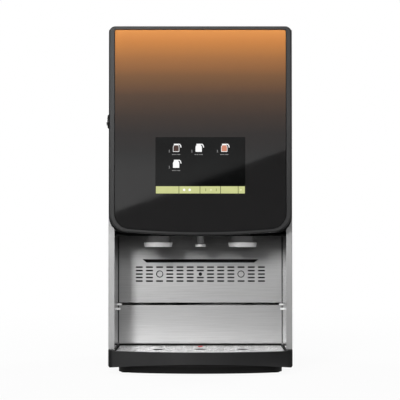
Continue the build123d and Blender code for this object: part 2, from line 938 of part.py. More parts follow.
def canister_lid(x):
    """Push-on lid with a skirt and a grip."""
    inner = canister_half_width + fit_gap
    outer = inner + lid_wall
    front, rear = canister_front - fit_gap, canister_rear + fit_gap
    low, top = canister_top - lid_skirt, canister_top + lid_thickness
    lid = span_box(x - outer, x + outer, front - lid_wall, rear + lid_wall, low, top)
    lid -= span_box(x - inner, x + inner, front, rear, low - overrun, canister_top)
    half, width = grip_length / 2, grip_width / 2
    middle = (front + rear) / 2
    return lid + span_box(x - half, x + half, middle - width, middle + width, top, top + grip_height)


def auger(x):
    """Twisted blade with a drive shaft at its rear end."""
    end = canister_rear - canister_wall - auger_end_gap
    disc_front = end - auger_blade
    length = disc_front - auger_tip_y
    start = Plane((x, auger_tip_y, auger_z), x_dir=(1, 0, 0), z_dir=(0, 1, 0))
    section = (start * Rectangle(auger_radius + auger_radius, auger_blade)).face()
    blade = Solid.extrude_linear_with_rotation(section, start.origin, (0, length, 0), 360 * auger_turns)
    disc = rod_y(auger_radius, x, disc_front, end, auger_z)
    shaft = rod_y(auger_shaft_radius, x, end, canister_rear + auger_shaft_length, auger_z)
    return disc + shaft + blade


def auger_motor(x):
    """Gear motor behind the auger plate, bored for the auger's shaft."""
    half = gearbox_width / 2
    gear_back = auger_plate_y + gearbox_depth
    low = shelf_z - sheet
    motor = span_box(x - half, x + half, auger_plate_y, gear_back, low, low + gearbox_width)
    motor += rod_y(auger_motor_radius, x, gear_back, gear_back + auger_motor_length, low + half)
    shaft_end = canister_rear + auger_shaft_length + overrun
    return motor - rod_y(auger_shaft_radius + run_gap, x, auger_plate_y - overrun, shaft_end, auger_z)


def outlet_elbow(x):
    """Turning elbow on the canister's spout, pointing down at rest."""
    bore = trough_radius + canister_wall + run_gap
    low = auger_z - elbow_drop
    elbow = rod_y(bore + elbow_wall, x, elbow_front_y, elbow_rear_y, auger_z)
    elbow += rod_z(elbow_tube_radius, x, nozzle_y, low, auger_z)
    elbow -= rod_y(bore, x, elbow_front_y + elbow_wall, elbow_rear_y + overrun, auger_z)
    return elbow - rod_z(elbow_tube_radius - elbow_wall, x, nozzle_y, low - overrun, auger_z)


# Mixing bowl, impeller, mixer motor and nozzle

def bowl_form(x, inset, past):
    """The bowl's funnel, whipping chamber and outlet, drawn in by an inset."""
    rise = bowl_rim_z - bowl_neck_z
    funnel = Pos(x, nozzle_y, bowl_neck_z + rise / 2)
    form = funnel * Cone(bowl_neck_radius - inset, bowl_rim_radius - inset, rise)
    form += rod_z(bowl_neck_radius - inset, x, nozzle_y, chamber_z, bowl_neck_z)
    form += rod_y(chamber_radius - inset, x, chamber_front + inset, chassis_front + past, chamber_z)
    form += rod_z(bowl_outlet_radius - inset, x, nozzle_y, bowl_outlet_low - past, chamber_z)
    return form


def mixing_bowl(x):
    """Hollow bowl that seats on the mixer plate, with a water inlet at its rear."""
    bowl = bowl_form(x, 0, 0) + rod_y(inlet_radius, x, nozzle_y, inlet_end_y, inlet_z)
    bowl -= bowl_form(x, bowl_wall, overrun)
    return bowl - rod_y(inlet_radius - inlet_wall, x, nozzle_y, inlet_end_y + overrun, inlet_z)


def impeller(x):
    """Bladed disc on a shaft."""
    back = impeller_y + impeller_disc
    wheel = rod_y(impeller_radius, x, impeller_y, back, chamber_z)
    wheel += rod_y(mixer_shaft_radius, x, impeller_y, mixer_shaft_rear, chamber_z)
    blade = span_box(
        0, impeller_radius, impeller_y - impeller_blade_length, impeller_y,
        -impeller_blade / 2, impeller_blade / 2,
    )
    for index in range(impeller_blades):
        wheel += Pos(x, 0, chamber_z) * Rot(0, 360 * index / impeller_blades, 0) * blade
    return wheel


def mixer_motor(x):
    """Motor behind the mixer plate with a plug that closes the bowl."""
    back = chassis_front + sheet
    motor = rod_y(mixer_motor_radius, x, back, mixer_motor_rear, chamber_z)
    motor += rod_y(mixer_plug_radius, x, mixer_plug_front, back, chamber_z)
    bore_end = mixer_shaft_rear + overrun
    return motor - rod_y(mixer_shaft_radius + run_gap, x, mixer_plug_front - overrun, bore_end, chamber_z)


def drink_nozzle(x):
    """Dark bell under the ceiling with a collar through it."""
    height = bay_top - bell_low
    bell = Pos(x, nozzle_y, bell_low + height / 2) * Cone(bell_low_radius, bell_top_radius, height)
    top = bay_top + ceiling_thickness + bell_collar_rise
    bell += rod_z(bell_collar_radius, x, nozzle_y, bay_top, top)
    bell -= rod_z(ring_bore, x, nozzle_y, bell_low - overrun, bay_top - bell_wall)
    return bell - rod_z(bowl_outlet_radius + fit_gap, x, nozzle_y, bell_low, top + overrun)


def nozzle_ring(x):
    """Bright ring at the bell's mouth."""
    middle = bell_low - ring_height / 2
    ring = Pos(x, nozzle_y, middle) * Cone(ring_low_radius, ring_radius, ring_height)
    ring = fillet(ring.edges(), ring_round)
    return ring - rod_z(ring_bore, x, nozzle_y, bell_low - ring_height - overrun, bell_low + overrun)


def hot_water_spout():
    """Stem of the hot-water outlet, with a flange on the ceiling plate."""
    seat = bay_top + ceiling_thickness
    stem_low = spout_tip_low + spout_tip_height
    stem = rod_z(spout_radius, 0, nozzle_y, stem_low, spout_top)
    stem += rod_z(spout_tip_radius, 0, nozzle_y, seat, seat + ceiling_thickness)
    return stem - rod_z(spout_bore, 0, nozzle_y, stem_low - overrun, spout_top - spout_bore)


def spout_tip():
    """Bright end ring of the hot-water outlet."""
    top = spout_tip_low + spout_tip_height
    tip = rod_z(spout_tip_radius, 0, nozzle_y, spout_tip_low, top)
    tip = fillet(tip.edges(), ring_round)
    return tip - rod_z(spout_bore, 0, nozzle_y, spout_tip_low - overrun, top + overrun)


# Boiler, valves and hoses

def boiler_tank():
    """Closed tank with a hole for the heating element."""
    def shell(inset):
        half = boiler_half_width - inset
        low, top = floor_z + inset, boiler_top - inset
        block = span_box(-half, half, boiler_front + inset, boiler_rear - inset, low, top)
        return fillet(block.edges().filter_by(Axis.Z), boiler_round - inset)

    hole = element_spread + element_rod_radius + fit_gap
    hole_low = boiler_top - boiler_wall - overrun
    return shell(0) - shell(boiler_wall) - rod_z(hole, element_x, element_y, hole_low, boiler_top)


def heating_element():
    """Flange with a U-shaped rod that hangs in the tank."""
    low = boiler_top - element_depth
    left, right = element_x - element_spread, element_x + element_spread
    path = FilletPolyline(
        (left, element_y, boiler_top), (left, element_y, low),
        (right, element_y, low), (right, element_y, boiler_top),
        radius=element_bend,
    )
    rod = sweep(Plane(path @ 0, z_dir=path % 0) * Circle(element_rod_radius), path)
    flange_top = boiler_top + element_flange_height
    return rod + rod_z(element_flange_radius, element_x, element_y, boiler_top, flange_top)


def outlet_valves():
    """Three solenoid valves on top of the tank."""
    valves = []
    for x in (-column_x, 0, column_x):
        half, depth = valve_width / 2, valve_depth / 2
        top = boiler_top + valve_height
        valve = span_box(x - half, x + half, valve_y - depth, valve_y + depth, boiler_top, top)
        valve += rod_z(hose_radius, x, valve_y, top, top + valve_spigot)
        coil_z = boiler_top + valve_height / 2
        valve += rod_y(coil_radius, x, valve_y + depth, valve_y + depth + coil_height, coil_z)
        valves.append(valve)
    return Compound(valves)


def hose(points):
    """A round hose along straight runs and arcs."""
    path = FilletPolyline(*points, radius=hose_bend)
    return sweep(Plane(path @ 0, z_dir=path % 0) * Circle(hose_radius), path)


def water_hoses():
    """Hoses from the valves to the two bowls and the spout."""
    low = boiler_top + valve_height + valve_spigot
    hoses = [
        hose([(x, valve_y, low), (x, valve_y, inlet_z), (x, inlet_end_y, inlet_z)]) for x in column_places
    ]
    hoses.append(hose([
        (0, valve_y, low), (0, valve_y, spout_hose_z),
        (0, nozzle_y, spout_hose_z), (0, nozzle_y, spout_top),
    ]))
    return Compound(hoses)


# Fan, main board, water inlet and mains inlet

def around_fan(piece, angle):
    """Turn a piece made at the origin about the fan's axis and set it there."""
    return Pos(0, 0, fan_z) * Rot(0, angle, 0) * piece


def fan_housing():
    """Square fan frame with arms that carry the rotor's pin."""
    front = fan_rear - fan_depth
    half = fan_size / 2
    arm_back = front + fan_arm_depth
    housing = span_box(-half, half, front, fan_rear, fan_z - half, fan_z + half)
    housing -= rod_y(fan_bore, 0, front - overrun, fan_rear + overrun, fan_z)
    arm = span_box(0, fan_bore + overrun, front, arm_back, -fan_arm / 2, fan_arm / 2)
    for index in range(fan_arm_count):
        housing += around_fan(arm, 360 * index / fan_arm_count)
    housing += rod_y(fan_hub_radius, 0, front, arm_back, fan_z)
    return housing + rod_y(fan_pin_radius, 0, front, arm_back + fan_hub_length, fan_z)


def fan_rotor():
    """Hub with pitched blades, turning on the housing's pin."""
    front = fan_rear - fan_depth + fan_arm_depth + fit_gap
    back = front + fan_hub_length + fan_cap
    rotor = rod_y(fan_hub_radius, 0, front, back, fan_z)
    length = fan_bore - fan_tip_gap - fan_hub_radius + fan_blade
    blade = Box(length, fan_chord, fan_blade)
    middle = fan_bore - fan_tip_gap - length / 2
    hub_middle = (front + back) / 2
    placed = Pos(middle, hub_middle, 0) * Rot(fan_blade_pitch, 0, 0) * blade
    for index in range(fan_blades):
        rotor += around_fan(placed, 360 * index / fan_blades)
    return rotor - rod_y(
        fan_pin_radius + run_gap, 0, front - overrun, front + fan_hub_length + fit_gap, fan_z
    )


def main_board():
    """Control board on standoffs from the left side panel."""
    wall = -casing_side + sheet
    left = wall + board_standoff
    right = left + board_thickness
    rear, top = board_y + board_depth, board_low + board_height
    board = span_box(left, right, board_y, rear, board_low, top)
    for y in (board_y + chip_size, rear - chip_size):
        for z in (board_low + chip_size, top - chip_size):
            board += rod_x(standoff_radius, wall, left, y, z)
    for share in chip_place_shares:
        z = board_low + board_height * abs(share)
        y = board_y + chip_size
        board += span_box(right, right + chip_size, y, y + chip_size, z, z + chip_size)
    return board


def inlet_valve():
    """Water inlet: valve body inside, round thread spigot outside."""
    half = supply_body / 2
    front = fan_rear - supply_body_depth
    valve = span_box(supply_x - half, supply_x + half, front, fan_rear, supply_z - half, supply_z + half)
    valve += rod_y(supply_radius - fit_gap, supply_x, fan_rear, casing_rear, supply_z)
    valve += rod_y(supply_radius, supply_x, casing_rear, rear_y, supply_z)
    return valve - rod_y(supply_bore, supply_x, fan_rear, rear_y + overrun, supply_z)


def rocker_window(gap):
    """Space of the rocker switch, grown by a gap."""
    half, rise = rocker_half_width + gap, rocker_half_height + gap
    z = mains_z + rocker_rise
    back = panel_rear + mains_flange
    return span_box(
        mains_x - half, mains_x + half, back - rocker_depth - gap, back + gap, z - rise, z + rise
    )


def mains_inlet():
    """Mains socket and switch housing in one moulding."""
    half, rise = mains_width / 2, mains_height / 2
    back = panel_rear + mains_flange
    body = span_box(mains_x - half, mains_x + half, panel_rear, back, mains_z - rise, mains_z + rise)
    half, rise = half - mains_flange - fit_gap, rise - mains_flange - fit_gap
    front = panel_rear - mains_depth
    body += span_box(mains_x - half, mains_x + half, front, panel_rear, mains_z - rise, mains_z + rise)
    half, rise, z = socket_width / 2, socket_height / 2, mains_z - socket_drop
    body -= span_box(
        mains_x - half, mains_x + half, back - socket_depth, back + overrun, z - rise, z + rise
    )
    body -= rocker_window(rocker_swing_gap)
    reach = rocker_half_width + rocker_pin_length + fit_gap
    pin_y, pin_z = back - rocker_sink, mains_z + rocker_rise
    return body - rod_x(rocker_pin_radius + run_gap, mains_x - reach, mains_x + reach, pin_y, pin_z)


def power_rocker():
    """Rocker switch, stored tipped to its off side."""
    pin_y, pin_z = panel_rear + mains_flange - rocker_sink, mains_z + rocker_rise
    reach = rocker_half_width + rocker_pin_length
    rocker = rocker_window(0) + rod_x(rocker_pin_radius, mains_x - reach, mains_x + reach, pin_y, pin_z)
    pivot = Pos(mains_x, pin_y, pin_z)
    return pivot * Rot(-rocker_angle / 2, 0, 0) * pivot.inverse() * rocker


# Every piece, by name

def pieces():
    """All pieces of the machine."""
    found = {
        "base_plinth": base_plinth(),
        "feet": feet(),
        "base_plate": base_plate(),
        "left_side_panel": side_panel(-1),
        "right_side_panel": side_panel(1),
        "top_cover": top_cover(),
        "rear_panel": rear_panel(),
        "inner_chassis": inner_chassis(),
        "bay_ceiling": bay_ceiling(),
        "bay_back_upper": bay_back_upper(),
        "bay_back_lower": bay_back_lower(),
        "bay_side_left": bay_side(-1),
        "bay_side_right": bay_side(1),
        "panel_clips": panel_clips(),
        "door_frame": door_frame(),
        "door_glass": door_glass(),
        "touchscreen": touchscreen(),
        "door_board": door_board(),
        "door_inner_cover": door_inner_cover(),
        "door_hinges": door_hinges(),
        "lock_housing": lock_housing(),
        "lock_barrel": lock_barrel(),
        "lock_cam": lock_cam(),
        "lock_striker": lock_striker(),
        "drip_tray": drip_tray(),
        "drip_grid": drip_grid(),
        "tray_float": tray_float(),
        "hot_water_spout": hot_water_spout(),
        "spout_tip": spout_tip(),
        "boiler_tank": boiler_tank(),
        "heating_element": heating_element(),
        "outlet_valves": outlet_valves(),
        "water_hoses": water_hoses(),
        "fan_housing": fan_housing(),
        "fan_rotor": fan_rotor(),
        "main_board": main_board(),
        "inlet_valve": inlet_valve(),
        "mains_inlet": mains_inlet(),
        "power_rocker": power_rocker(),
    }
    column_makers = (
        canister, canister_lid, auger, auger_motor, outlet_elbow,
        mixing_bowl, impeller, mixer_motor, drink_nozzle, nozzle_ring,
    )
    for side, x in zip(("left", "right"), column_places):
        for maker in column_makers:
            found[f"{side}_{maker.__name__}"] = maker(x)
    return found


os.makedirs("parts", exist_ok=True)
for name, piece in pieces().items():
    export_step(piece, f"parts/{name}.step")
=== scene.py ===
import json
import math

import bmesh
import bpy
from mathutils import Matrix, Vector


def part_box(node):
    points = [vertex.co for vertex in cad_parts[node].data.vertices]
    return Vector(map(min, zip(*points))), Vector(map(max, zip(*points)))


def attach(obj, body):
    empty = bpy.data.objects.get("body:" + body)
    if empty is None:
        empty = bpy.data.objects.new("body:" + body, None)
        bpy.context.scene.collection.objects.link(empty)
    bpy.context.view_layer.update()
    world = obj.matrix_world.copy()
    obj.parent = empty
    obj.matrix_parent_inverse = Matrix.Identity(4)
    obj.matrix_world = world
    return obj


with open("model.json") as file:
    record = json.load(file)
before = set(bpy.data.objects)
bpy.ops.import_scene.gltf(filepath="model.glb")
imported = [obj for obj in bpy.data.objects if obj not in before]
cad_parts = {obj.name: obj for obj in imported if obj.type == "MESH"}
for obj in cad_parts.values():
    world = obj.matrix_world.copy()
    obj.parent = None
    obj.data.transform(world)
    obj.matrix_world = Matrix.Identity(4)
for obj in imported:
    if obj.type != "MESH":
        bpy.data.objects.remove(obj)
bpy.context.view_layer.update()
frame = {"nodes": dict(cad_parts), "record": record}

MM = 0.001
NODES = frame["nodes"]
WHITE = (1.0, 1.0, 1.0)

# Places in the part's frame where a finish or a painted shade changes, and how soft the change is

# Depth behind which the door's shell is painted matt black as shade
BEZEL_DEEP = -212.0 * MM
BEZEL_EDGE = 0.6 * MM
REAR_LINING = 209.2 * MM
LINING_EDGE = 0.4 * MM
# Bow of the tray's front band; behind it the recessed face is painted matt black as shade
BOW_RADIUS = 421.75 * MM
BOW_MIDDLE = 191.75 * MM
BAND_DEPTH = 4.0 * MM
BAND_EDGE = 0.5 * MM
HOLE_PITCH = 79.5 * MM
HOLE_REACH = 1.25 * HOLE_PITCH
HOLE_ROW = -142.0 * MM
# Radius and softness of the painted black in and round each hole under the outlets, and the turn of the
# normal over which the punched walls take painted shade
HOLE_SHADE_RADIUS = 12.0 * MM
HOLE_SHADE_EDGE = 0.5 * MM
WALL_SHADE_TURN = (0.4, 0.7)
# Middle of each dimple, and the radius, half width and softness of its ring of painted shade
DIMPLE_ACROSS = 79.6 * MM
DIMPLE_HEIGHT = 179.5 * MM
DIMPLE_RING = 6.2 * MM
DIMPLE_RING_HALF = 0.6 * MM
DIMPLE_RING_EDGE = 0.2 * MM

# Noise in the materials

NOISE_SPAN = (0.3, 0.7)
NOISE_ROUGHNESS = 0.6
EVEN = (1.0, 1.0, 1.0)
CLOUD_SCALE = 18.0
CLOUD_DETAIL = 4.0
FINE_DETAIL = 2.0
GRAIN_SCALE = 900.0
GRAIN_STRENGTH = 0.15
GRAIN_HEIGHT = 0.2 * MM
BRUSH_CLOUD = 12.0
BRUSH_GRAIN = 60.0
BRUSH_STRENGTH = 0.05
BRUSH_HEIGHT = 0.1 * MM
ALONG_X = (1.0, 50.0, 50.0)
GRID_CLOUD = 40.0
GRID_STRETCH = (1.0, 40.0, 40.0)
GRID_STRENGTH = 0.02

# Sockets of a colour mix, by number because their names repeat

MIX_SHARE = 0
MIX_FIRST = 6
MIX_SECOND = 7
MIX_RESULT = 2


# Material building blocks

def grey(level):
    """A colour without hue."""
    return (level, level, level)


def new_material(name):
    """A fresh material with its node tree and its shader."""
    material = bpy.data.materials.new(name)
    material.use_nodes = True
    tree = material.node_tree
    return material, tree, tree.nodes["Principled BSDF"]


def set_sockets(node, values):
    """Plain values on a node's sockets, whose names have underscores here for spaces."""
    for key, value in values.items():
        node.inputs[key.replace("_", " ")].default_value = value


def add_node(tree, kind, settings=None, **inputs):
    """A node with plain settings and socket values."""
    node = tree.nodes.new(kind)
    for key, value in (settings or {}).items():
        setattr(node, key, value)
    set_sockets(node, inputs)
    return node


def placed_noise(tree, scale, stretch, detail):
    """Noise in the object's own metres, stretched per axis."""
    place = add_node(tree, "ShaderNodeTexCoord")
    mapping = add_node(tree, "ShaderNodeMapping", Scale=stretch)
    noise = add_node(tree, "ShaderNodeTexNoise", Scale=scale, Detail=detail, Roughness=NOISE_ROUGHNESS)
    tree.links.new(place.outputs["Object"], mapping.inputs["Vector"])
    tree.links.new(mapping.outputs["Vector"], noise.inputs["Vector"])
    return noise.outputs["Fac"]


def spread(tree, value, low, high):
    """Noise mapped to a range."""
    ranger = add_node(tree, "ShaderNodeMapRange", From_Min=NOISE_SPAN[0], From_Max=NOISE_SPAN[1],
                      To_Min=low, To_Max=high)
    tree.links.new(value, ranger.inputs["Value"])
    return ranger.outputs["Result"]


def two_tone(tree, value, dark, light):
    """Noise mapped between two colours."""
    ramp = add_node(tree, "ShaderNodeValToRGB")
    for stop, place, colour in zip(ramp.color_ramp.elements, NOISE_SPAN, (dark, light)):
        stop.position = place
        stop.color = (*colour, 1.0)
    tree.links.new(value, ramp.inputs["Fac"])
    return ramp.outputs["Color"]


def set_bump(tree, shader, value, strength, height):
    """Bump from a noise."""
    bump = add_node(tree, "ShaderNodeBump", Strength=strength, Distance=height)
    tree.links.new(value, bump.inputs["Height"])
    tree.links.new(bump.outputs["Normal"], shader.inputs["Normal"])


def surface(name, dark, light, rough, blotch=CLOUD_SCALE, grain=GRAIN_SCALE, stretch=EVEN,
            strength=GRAIN_STRENGTH, height=GRAIN_HEIGHT, **constants):
    """A material with blotchy colour, uneven gloss and a fine grain."""
    material, tree, shader = new_material(name)
    cloud = placed_noise(tree, blotch, stretch, CLOUD_DETAIL)
    fine = placed_noise(tree, grain, stretch, FINE_DETAIL)
    tree.links.new(two_tone(tree, cloud, dark, light), shader.inputs["Base Color"])
    tree.links.new(spread(tree, fine, *rough), shader.inputs["Roughness"])
    set_bump(tree, shader, fine, strength, height)
    set_sockets(shader, constants)
    return material


def brushed(name, dark, light, rough, stretch, **constants):
    """Metal with fine lines along the axis that is stretched least."""
    return surface(name, dark, light, rough, blotch=BRUSH_CLOUD, grain=BRUSH_GRAIN, stretch=stretch,
                   strength=BRUSH_STRENGTH, height=BRUSH_HEIGHT, Metallic=1.0, **constants)


def part_over(tree, value, low, high, below, above):
    """Changes from one source to another as a value rises from low to high."""
    ranger = add_node(tree, "ShaderNodeMapRange", From_Min=low, From_Max=high)
    mix = add_node(tree, "ShaderNodeMix", {"data_type": "RGBA"})
    tree.links.new(value, ranger.inputs["Value"])
    tree.links.new(ranger.outputs["Result"], mix.inputs[MIX_SHARE])
    tree.links.new(below, mix.inputs[MIX_FIRST])
    tree.links.new(above, mix.inputs[MIX_SECOND])
    return mix.outputs[MIX_RESULT]


def coordinate(tree, output, axis):
    """One coordinate of a place or a normal in the object's own frame."""
    place = add_node(tree, "ShaderNodeTexCoord")
    parts = add_node(tree, "ShaderNodeSeparateXYZ")
    tree.links.new(place.outputs[output], parts.inputs["Vector"])
    return parts.outputs[axis]


def less(tree, value, amount):
    """A value minus a number."""
    node = add_node(tree, "ShaderNodeMath", {"operation": "SUBTRACT"})
    node.inputs[1].default_value = amount
    tree.links.new(value, node.inputs[0])
    return node.outputs[0]


def unsigned(tree, value):
    """A value without its sign."""
    node = add_node(tree, "ShaderNodeMath", {"operation": "ABSOLUTE"})
    tree.links.new(value, node.inputs[0])
    return node.outputs[0]


def length_of(tree, first, second):
    """Length of two values at right angles."""
    join = add_node(tree, "ShaderNodeCombineXYZ")
    length = add_node(tree, "ShaderNodeVectorMath", {"operation": "LENGTH"})
    tree.links.new(first, join.inputs["X"])
    tree.links.new(second, join.inputs["Y"])
    tree.links.new(join.outputs["Vector"], length.inputs[0])
    return length.outputs["Value"]


# Finishes that change within one piece; their matt black is painted shade on the door, the tray and the
# dimples, and a dark lining on the rear panel

# Matt black for painted shade, and for the rear panel's dark lining
MATT_TONES = (grey(0.003), grey(0.005))
MATT_ROUGHNESS = (0.85, 1.0)


def blackened(material, value, low, high, black_above):
    """Turns a material matt black on one side of a change in a value."""
    tree = material.node_tree
    shader = tree.nodes["Principled BSDF"]
    own = shader.inputs["Base Color"].links[0].from_socket
    cloud = placed_noise(tree, CLOUD_SCALE, EVEN, CLOUD_DETAIL)
    black = two_tone(tree, cloud, *MATT_TONES)
    gloss = shader.inputs["Roughness"].links[0].from_socket
    matt = spread(tree, cloud, *MATT_ROUGHNESS)
    tones = (own, black) if black_above else (black, own)
    roughs = (gloss, matt) if black_above else (matt, gloss)
    tree.links.new(part_over(tree, value, low, high, *tones), shader.inputs["Base Color"])
    tree.links.new(part_over(tree, value, low, high, *roughs), shader.inputs["Roughness"])
    return material


def silver_sheet(name):
    """Silver paint of the casing."""
    return surface(name, grey(0.435), grey(0.465), (0.36, 0.46), Metallic=0.6)


def rear_finish(name):
    """Silver sheet with a dark lining inside."""
    material = silver_sheet(name)
    depth = coordinate(material.node_tree, "Object", "Y")
    return blackened(material, depth, REAR_LINING, REAR_LINING + LINING_EDGE, False)


def satin_black(name):
    """Black plastic with a satin gloss."""
    return surface(name, (0.010, 0.010, 0.0105), (0.015, 0.015, 0.0155), (0.34, 0.46))


def band_and_painted_shade(name):
    """Satin front band; the recessed face behind it is painted matt black as shade."""
    material = satin_black(name)
    tree = material.node_tree
    # Painted shade: matt black beyond the inner face of the bowed band
    behind = less(tree, coordinate(tree, "Object", "Y"), BOW_MIDDLE)
    reach = length_of(tree, coordinate(tree, "Object", "X"), behind)
    inner = BOW_RADIUS - BAND_DEPTH
    return blackened(material, reach, inner - BAND_EDGE, inner, False)


def bezel_and_painted_shade(name):
    """Satin bezel in front of a shell painted matt black as shade under the bezel."""
    material = surface(name, (0.019, 0.019, 0.0195), (0.025, 0.025, 0.0255), (0.38, 0.48),
                       Specular_IOR_Level=0.35)
    # Painted shade: the shell behind the bezel turns matt black
    depth = coordinate(material.node_tree, "Object", "Y")
    return blackened(material, depth, BEZEL_DEEP, BEZEL_DEEP + BEZEL_EDGE, True)


def bay_sheet(name):
    """Brushed steel of the bay's back."""
    return brushed(name, grey(0.46), grey(0.54), (0.38, 0.45), ALONG_X, Anisotropic=0.2,
                   Anisotropic_Rotation=0.25)


def dimpled_steel_painted_shade(name):
    """Bay steel with a ring of painted shade round the floor of each dimple."""
    material = bay_sheet(name)
    tree = material.node_tree
    across = less(tree, unsigned(tree, coordinate(tree, "Object", "X")), DIMPLE_ACROSS)
    up = less(tree, coordinate(tree, "Object", "Z"), DIMPLE_HEIGHT)
    off_ring = unsigned(tree, less(tree, length_of(tree, across, up), DIMPLE_RING))
    return blackened(material, off_ring, DIMPLE_RING_HALF, DIMPLE_RING_HALF + DIMPLE_RING_EDGE, False)


def hole_distance(tree):
    """Plan distance to the nearest of the holes under the outlets."""
    limit = add_node(tree, "ShaderNodeClamp", Min=-HOLE_REACH, Max=HOLE_REACH)
    wrap = add_node(tree, "ShaderNodeMath", {"operation": "WRAP"})
    wrap.inputs[1].default_value = HOLE_PITCH / 2
    wrap.inputs[2].default_value = -HOLE_PITCH / 2
    tree.links.new(coordinate(tree, "Object", "X"), limit.inputs["Value"])
    tree.links.new(limit.outputs["Result"], wrap.inputs[0])
    behind = less(tree, coordinate(tree, "Object", "Y"), HOLE_ROW)
    return length_of(tree, wrap.outputs[0], behind)


def punched_steel_painted_shade(name):
    """Pale satin sheet; painted shade darkens the walls of the punched holes and slots, and paints the
    holes under the outlets and a band round them black.
    """
    material = surface(name, (0.93, 0.923, 0.926), (0.97, 0.963, 0.966), (0.24, 0.32),
                       blotch=BRUSH_CLOUD, grain=BRUSH_GRAIN, stretch=GRID_STRETCH,
                       strength=GRID_STRENGTH, height=BRUSH_HEIGHT, Metallic=0.6)
    tree = material.node_tree
    shader = tree.nodes["Principled BSDF"]
    top = shader.inputs["Base Color"].links[0].from_socket
    cloud = placed_noise(tree, GRID_CLOUD, EVEN, FINE_DETAIL)
    # Painted shade: black in and round the holes under the outlets, and a darker tone on the punched walls
    # that face sideways
    black = two_tone(tree, cloud, grey(0.004), grey(0.008))
    painted_wall_shade = two_tone(tree, cloud, (0.80, 0.793, 0.796), (0.86, 0.853, 0.856))
    sheet = part_over(tree, coordinate(tree, "Normal", "Z"), *WALL_SHADE_TURN, painted_wall_shade, top)
    tone = part_over(tree, hole_distance(tree), HOLE_SHADE_RADIUS, HOLE_SHADE_RADIUS + HOLE_SHADE_EDGE, black, sheet)
    tree.links.new(tone, shader.inputs["Base Color"])
    return material


# The printed front glass

PRINT_STOPS = (
    (0.262, (0.0185, 0.0182, 0.0185)),
    (0.400, (0.0165, 0.0160, 0.0160)),
    (0.442, (0.019, 0.0145, 0.0135)),
    (0.475, (0.039, 0.0235, 0.0165)),
    (0.512, (0.086, 0.0445, 0.023)),
    (0.548, (0.204, 0.090, 0.031)),
    (0.581, (0.390, 0.153, 0.040)),
    (0.611, (0.628, 0.231, 0.048)),
    (0.633, (0.825, 0.318, 0.074)),
)
HAZE_SCALE = 30.0
HAZE_DETAIL = 3.0
GLASS_ROUGHNESS = (0.02, 0.05)


def printed_glass(name):
    """Back-printed glass that fades from copper at the top to black."""
    material, tree, shader = new_material(name)
    low = PRINT_STOPS[0][0]
    high = PRINT_STOPS[-1][0]
    ranger = add_node(tree, "ShaderNodeMapRange", From_Min=low, From_Max=high)
    ramp = add_node(tree, "ShaderNodeValToRGB")
    stops = ramp.color_ramp.elements
    places = [(height - low) / (high - low) for height, _ in PRINT_STOPS]
    for place in places[1:-1]:
        stops.new(place)
    for stop, place, (_, colour) in zip(stops, places, PRINT_STOPS):
        stop.position = place
        stop.color = (*colour, 1.0)
    tree.links.new(coordinate(tree, "Object", "Z"), ranger.inputs["Value"])
    tree.links.new(ranger.outputs["Result"], ramp.inputs["Fac"])
    tree.links.new(ramp.outputs["Color"], shader.inputs["Base Color"])
    haze = placed_noise(tree, HAZE_SCALE, EVEN, HAZE_DETAIL)
    tree.links.new(spread(tree, haze, *GLASS_ROUGHNESS), shader.inputs["Roughness"])
    return material


# Materials by record slot

MATERIALS = {
    "black_moulding": satin_black("black_moulding"),
    "door_moulding": bezel_and_painted_shade("door_moulding"),
    "front_glass": printed_glass("front_glass"),
    "screen_glass": surface("screen_glass", grey(0.003), (0.005, 0.0055, 0.0055), (0.03, 0.06),
                            strength=0.0, Specular_IOR_Level=0.25),
    "silver_panel": silver_sheet("silver_panel"),
    "bay_steel": bay_sheet("bay_steel"),
    "grid_steel": punched_steel_painted_shade("grid_steel"),
    "chassis_steel": brushed("chassis_steel", (0.48, 0.49, 0.5), (0.6, 0.61, 0.62), (0.35, 0.5),
                             (6.0, 6.0, 1.0)),
    "bright_chrome": brushed("bright_chrome", grey(0.62), grey(0.72), (0.38, 0.48), (1.0, 1.0, 30.0)),
    "white_plastic": surface("white_plastic", grey(0.86), grey(0.93), (0.25, 0.35)),
    "float_red": surface("float_red", (0.52, 0.02, 0.03), (0.64, 0.03, 0.045), (0.25, 0.35)),
    "foot_rubber": surface("foot_rubber", grey(0.018), grey(0.03), (0.75, 0.9), strength=0.4),
    "dark_plastic": surface("dark_plastic", (0.026, 0.026, 0.027), (0.038, 0.038, 0.039), (0.35, 0.5)),
    "canister_plastic": surface("canister_plastic", (0.62, 0.64, 0.65), (0.72, 0.74, 0.75), (0.2, 0.32),
                                Transmission_Weight=0.35),
    "lid_plastic": surface("lid_plastic", (0.09, 0.09, 0.095), (0.13, 0.13, 0.135), (0.3, 0.42)),
    "auger_plastic": surface("auger_plastic", (0.74, 0.74, 0.72), (0.82, 0.82, 0.8), (0.35, 0.5)),
    "motor_metal": surface("motor_metal", (0.15, 0.15, 0.16), (0.22, 0.22, 0.23), (0.35, 0.5),
                           Metallic=0.7),
    "valve_brass": surface("valve_brass", (0.5, 0.37, 0.15), (0.64, 0.49, 0.22), (0.25, 0.4),
                           Metallic=1.0),
    "hose_silicone": surface("hose_silicone", (0.66, 0.66, 0.63), (0.76, 0.76, 0.73), (0.35, 0.5),
                             Transmission_Weight=0.25),
    "board_green": surface("board_green", (0.015, 0.13, 0.055), (0.025, 0.18, 0.08), (0.3, 0.45)),
    # The boiler's near black is painted shade, seen through the vent slots
    "boiler_enamel": surface("boiler_enamel", grey(0.010), grey(0.016), (0.55, 0.7)),
}
